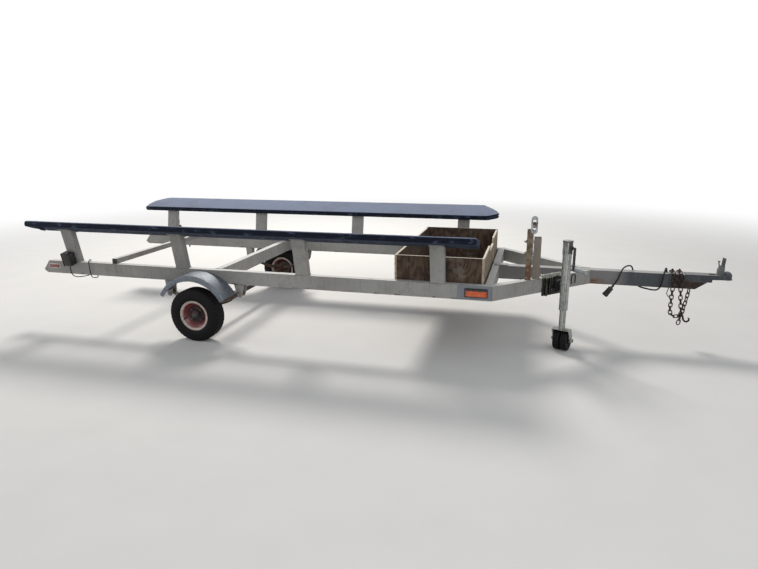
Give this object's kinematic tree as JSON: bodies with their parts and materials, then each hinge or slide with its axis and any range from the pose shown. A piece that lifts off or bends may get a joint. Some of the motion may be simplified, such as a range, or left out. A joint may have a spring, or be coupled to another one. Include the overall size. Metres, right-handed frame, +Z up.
{
  "type": "boat trailer",
  "caption": "Single-axle bunk boat trailer with V drawbar, leaning bunk posts, plywood box, bow stop, ball coupler and swivel jack",
  "frame": {"origin": "on the ground, at the middle of the trailer's length and width, as it stands parked on its tyres and jack", "axes": "+X forward to the coupler, +Y to the trailer's left, +Z up"},
  "size_m": [5.28, 1.7298, 0.966],
  "materials": {
    "frame_paint": "weathered grey paint over welded steel tube",
    "galvanised": "dull zinc with spangle and light rust at its edges",
    "rusty_steel": "bare steel, rusted brown",
    "dark_steel": "black painted steel, worn",
    "zinc_chain": "dull zinc, rust in the joints",
    "axle_steel": "dark primer with rust",
    "tyre": "dusty black rubber",
    "rubber": "matt black rubber",
    "wheel_red": "faded red paint, pale flange",
    "carpet": "matted marine carpet",
    "plywood": "weathered plywood",
    "black_plastic": "moulded, matt",
    "red_lens": "moulded lens",
    "amber_lens": "moulded lens",
    "cable": "dull sheath",
    "twine": "light twine"
  },
  "bodies": {
    "wheel_right": {"tyre_right": "tyre", "wheel_rim_right": "wheel_red", "hub_right": "galvanised"},
    "wheel_left": {"tyre_left": "tyre", "wheel_rim_left": "wheel_red", "hub_left": "galvanised"},
    "jack": {"jack_outer_tube": "galvanised", "jack_pull_pin": "dark_steel", "jack_gearbox": "galvanised", "jack_crank": "galvanised"},
    "jack_ram": {"jack_inner_tube": "galvanised"},
    "jack_caster": {"jack_fork": "galvanised"},
    "jack_roller": {"jack_wheels": "black_plastic"},
    "frame": {"rail_right": "frame_paint", "rail_left": "frame_paint", "v_rail_right": "frame_paint", "v_rail_left": "frame_paint", "crossmember_main": "frame_paint", "crossmember_front": "frame_paint", "crossbar_rear": "frame_paint", "crossbar_plugs": "black_plastic", "tongue": "frame_paint", "axle_beam": "axle_steel", "leaf_springs": "axle_steel", "spring_hangers": "frame_paint", "axle_u_bolts": "galvanised", "fender_right": "galvanised", "fender_left": "galvanised", "bunk_right": "carpet", "bunk_left": "carpet", "bunk_posts_right": "frame_paint", "bunk_posts_left": "frame_paint", "box_panel_right": "plywood", "box_panel_left": "plywood", "box_panel_rear": "plywood", "box_panel_front": "plywood", "box_floor": "plywood", "box_supports": "frame_paint", "bow_stop_post": "rusty_steel", "open_upright": "frame_paint", "bow_roller_cheeks": "galvanised", "bow_roller": "rubber", "coupler": "galvanised", "coupler_latch": "galvanised", "safety_chains": "zinc_chain", "jack_clamp": "dark_steel", "tail_lights": "black_plastic", "tail_light_plates": "galvanised", "side_markers": "amber_lens", "wiring_plug": "black_plastic", "wiring_lead": "cable", "tail_light_wires": "cable", "box_twine": "twine"}
  },
  "joints": [
    {"name": "wheel_right_spin", "type": "hinge", "parent": "frame", "child": "wheel_right", "pos_m": [-1.157, -0.79, 0.2045], "axis": [0, 1, 0], "continuous": true},
    {"name": "wheel_left_spin", "type": "hinge", "parent": "frame", "child": "wheel_left", "pos_m": [-1.157, 0.79, 0.2045], "axis": [0, 1, 0], "continuous": true},
    {"name": "jack_swing", "type": "hinge", "parent": "frame", "child": "jack", "pos_m": [1.43387, -0.29113, 0.476], "axis": [-0.6947, 0.7193, 0], "range_deg": [0, 90]},
    {"name": "jack_ram_slide", "type": "slide", "parent": "jack", "child": "jack_ram", "axis": [0, 0, 1], "range_m": [-0.11, 0.13]},
    {"name": "jack_caster_swivel", "type": "hinge", "parent": "jack_ram", "child": "jack_caster", "pos_m": [1.50333, -0.36306, 0.164], "axis": [0, 0, 1], "continuous": true},
    {"name": "jack_roller_spin", "type": "hinge", "parent": "jack_caster", "child": "jack_roller", "pos_m": [1.51359, -0.33487, 0.076], "axis": [0.9397, -0.342, 0], "continuous": true}
  ]
}
